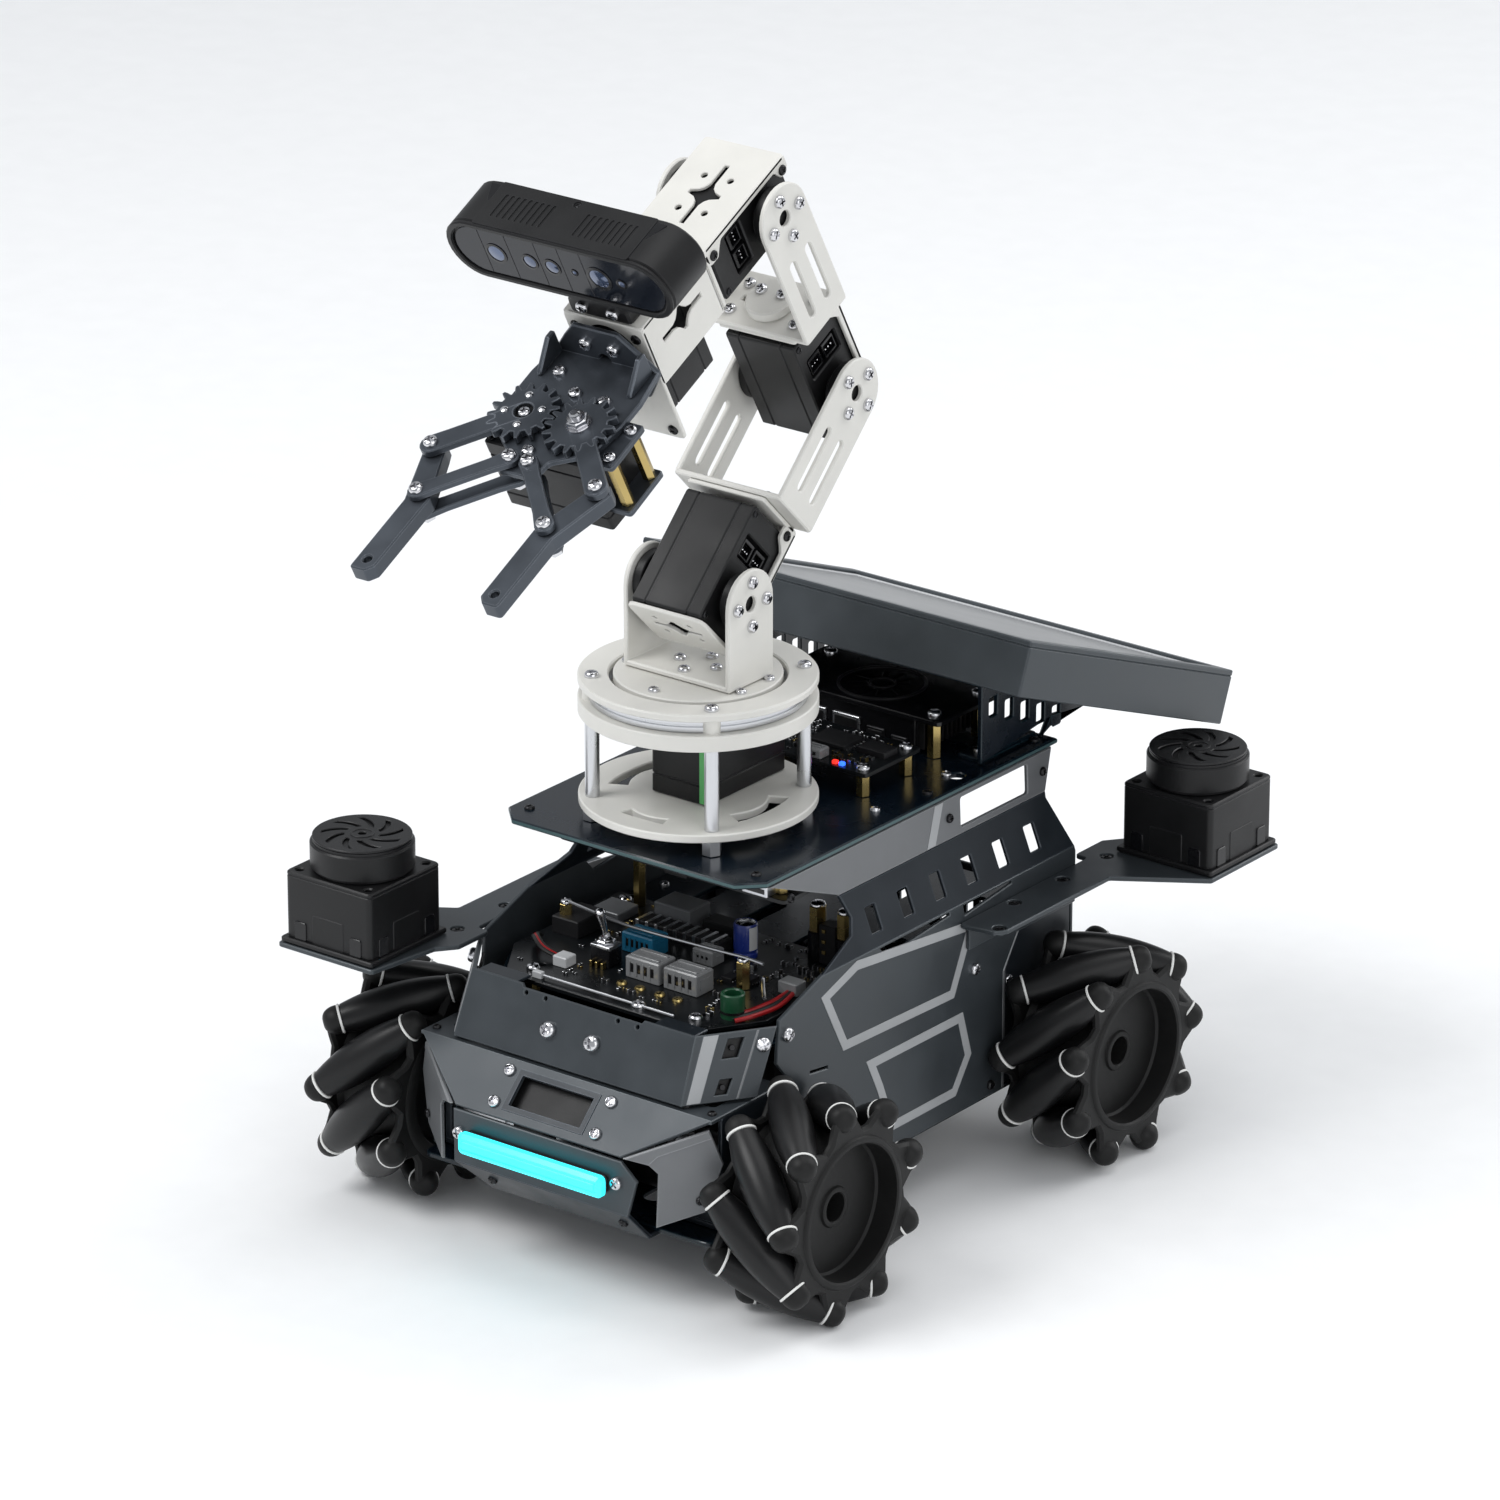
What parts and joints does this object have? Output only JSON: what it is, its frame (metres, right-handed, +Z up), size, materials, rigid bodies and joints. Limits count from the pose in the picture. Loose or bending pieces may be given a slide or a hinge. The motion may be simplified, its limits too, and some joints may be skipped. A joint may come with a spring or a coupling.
{
  "type": "mecanum wheel robot",
  "caption": "Mecanum-wheeled robot base carrying a five-axis white arm with a parallel-link gripper, a depth camera, two corner lidars and a tilted display.",
  "frame": {"origin": "on the ground under the middle of the bounding box", "axes": "+Z up, front of the robot towards -Y, the robot's left side at +X"},
  "size_m": [0.227, 0.3518, 0.3864],
  "materials": {
    "slate_paint": "satin powder coat, dark slate",
    "navy_paint": "gloss, near black navy",
    "grey_paint": "satin, mid grey",
    "white_paint": "fine powder coat, warm white",
    "dark_metal": "anodised, dark grey",
    "black_plastic": "fine texture, black",
    "roller_rubber": "smooth, black",
    "laminate": "solder mask, black",
    "bright_steel": "polished",
    "motor_steel": "plated",
    "light_bar": "glowing cyan diffuser",
    "screen_glass": "dark glossy panel with a light reflection"
  },
  "bodies": {
    "chassis": {"bottom_plate": "navy_paint", "side_panel_left": "slate_paint", "side_panel_right": "slate_paint", "upper_fascia": "slate_paint", "slanted_panel": "slate_paint", "lower_bumper": "slate_paint", "light_bar": "light_bar", "fender_left": "grey_paint", "fender_right": "grey_paint", "rear_panel": "slate_paint", "middle_tray": "navy_paint", "top_deck": "navy_paint", "driver_board": "laminate", "controller_board": "laminate", "hub_board": "laminate", "computer_case": "black_plastic", "battery_pack": "black_plastic", "motor_front_left": "motor_steel", "motor_front_right": "motor_steel", "motor_rear_left": "motor_steel", "motor_rear_right": "motor_steel", "lidar_plate_rear": "slate_paint", "lidar_plate_front": "slate_paint", "lidar_base_rear": "black_plastic", "lidar_base_front": "black_plastic", "display_housing": "slate_paint", "display_screen": "screen_glass", "display_bracket": "navy_paint", "arm_base_plate": "white_paint", "arm_base_ring": "white_paint", "base_servo": "black_plastic"},
    "wheel_front_left_body": {"wheel_front_left": "roller_rubber"},
    "wheel_front_right_body": {"wheel_front_right": "roller_rubber"},
    "wheel_rear_left_body": {"wheel_rear_left": "roller_rubber"},
    "wheel_rear_right_body": {"wheel_rear_right": "roller_rubber"},
    "lidar_head_front_body": {"lidar_head_front": "black_plastic"},
    "lidar_head_rear_body": {"lidar_head_rear": "black_plastic"},
    "toggle": {"power_toggle": "bright_steel"},
    "arm_yaw": {"turntable": "white_paint", "shoulder_bracket": "white_paint"},
    "lower_arm": {"shoulder_servo": "black_plastic", "lower_arm_channel": "white_paint", "lower_arm_fork": "white_paint"},
    "upper_arm": {"elbow_servo": "black_plastic", "upper_arm_channel": "white_paint", "upper_arm_fork": "white_paint"},
    "hand": {"wrist_servo": "black_plastic", "wrist_channel": "white_paint", "roll_bracket": "white_paint", "roll_servo": "black_plastic", "depth_camera": "black_plastic"},
    "palm": {"gripper_bracket": "dark_metal", "gripper_servo": "black_plastic"},
    "gear_right": {"gripper_gear_right": "dark_metal"},
    "gear_left": {"gripper_gear_left": "dark_metal"},
    "follower_right_body": {"follower_right": "dark_metal"},
    "follower_left_body": {"follower_left": "dark_metal"},
    "finger_right_body": {"finger_right": "dark_metal"},
    "finger_left_body": {"finger_left": "dark_metal"}
  },
  "joints": [
    {"name": "wheel_front_left_spin", "type": "hinge", "parent": "chassis", "child": "wheel_front_left_body", "pos_m": [0.088, -0.07771, 0.04], "axis": [1, 0, 0], "continuous": true},
    {"name": "wheel_front_right_spin", "type": "hinge", "parent": "chassis", "child": "wheel_front_right_body", "pos_m": [-0.088, -0.07771, 0.04], "axis": [1, 0, 0], "continuous": true},
    {"name": "wheel_rear_left_spin", "type": "hinge", "parent": "chassis", "child": "wheel_rear_left_body", "pos_m": [0.088, 0.09029, 0.04], "axis": [1, 0, 0], "continuous": true},
    {"name": "wheel_rear_right_spin", "type": "hinge", "parent": "chassis", "child": "wheel_rear_right_body", "pos_m": [-0.088, 0.09029, 0.04], "axis": [1, 0, 0], "continuous": true},
    {"name": "lidar_front_spin", "type": "hinge", "parent": "chassis", "child": "lidar_head_front_body", "pos_m": [-0.092, -0.10071, 0.13], "axis": [0, 0, 1], "continuous": true},
    {"name": "lidar_rear_spin", "type": "hinge", "parent": "chassis", "child": "lidar_head_rear_body", "pos_m": [0.092, 0.14529, 0.13], "axis": [0, 0, 1], "continuous": true},
    {"name": "power_toggle_tilt", "type": "hinge", "parent": "chassis", "child": "toggle", "pos_m": [-0.019, -0.05611, 0.1036], "axis": [1, 0, 0], "range_deg": [-36, 0]},
    {"name": "base_yaw", "type": "hinge", "parent": "chassis", "child": "arm_yaw", "pos_m": [0, -0.02771, 0.198], "axis": [0, 0, 1], "range_deg": [-120, 120]},
    {"name": "shoulder_pitch", "type": "hinge", "parent": "arm_yaw", "child": "lower_arm", "pos_m": [0, -0.02771, 0.2286], "axis": [1, 0, 0], "range_deg": [-20, 40]},
    {"name": "elbow_pitch", "type": "hinge", "parent": "lower_arm", "child": "upper_arm", "pos_m": [0, 0.03239, 0.2887], "axis": [1, 0, 0], "range_deg": [-30, 20]},
    {"name": "wrist_pitch", "type": "hinge", "parent": "upper_arm", "child": "hand", "pos_m": [0, -0.00882, 0.36305], "axis": [-1, 0, 0], "range_deg": [-25, 45]},
    {"name": "wrist_roll", "type": "hinge", "parent": "hand", "child": "palm", "pos_m": [0, -0.07415, 0.32831], "axis": [0, -0.8829, -0.4695], "range_deg": [-110, 110]},
    {"name": "gripper_close", "type": "hinge", "parent": "palm", "child": "gear_right", "pos_m": [-0.012, -0.10594, 0.3114], "axis": [0, -0.4695, 0.8829], "range_deg": [-25, 40]},
    {"name": "gear_left_turn", "type": "hinge", "parent": "palm", "child": "gear_left", "pos_m": [0.012, -0.10594, 0.3114], "axis": [0, -0.4695, 0.8829], "range_deg": [-40, 25]},
    {"name": "follower_right_turn", "type": "hinge", "parent": "palm", "child": "follower_right_body", "pos_m": [-0.004, -0.1236, 0.30201], "axis": [0, -0.4695, 0.8829], "range_deg": [-25, 40]},
    {"name": "finger_right_turn", "type": "hinge", "parent": "gear_right", "child": "finger_right_body", "pos_m": [-0.03533, -0.12654, 0.30045], "axis": [0, -0.4695, 0.8829], "range_deg": [-40, 25]},
    {"name": "follower_left_turn", "type": "hinge", "parent": "palm", "child": "follower_left_body", "pos_m": [0.004, -0.1236, 0.30201], "axis": [0, -0.4695, 0.8829], "range_deg": [-40, 25]},
    {"name": "finger_left_turn", "type": "hinge", "parent": "gear_left", "child": "finger_left_body", "pos_m": [0.03533, -0.12654, 0.30045], "axis": [0, -0.4695, 0.8829], "range_deg": [-25, 40]}
  ],
  "couplings": [
    {"joint": "gear_left_turn", "follows": "gripper_close", "ratio": -1},
    {"joint": "follower_right_turn", "follows": "gripper_close", "ratio": 1},
    {"joint": "follower_left_turn", "follows": "gripper_close", "ratio": -1},
    {"joint": "finger_right_turn", "follows": "gripper_close", "ratio": -1},
    {"joint": "finger_left_turn", "follows": "gripper_close", "ratio": 1}
  ]
}
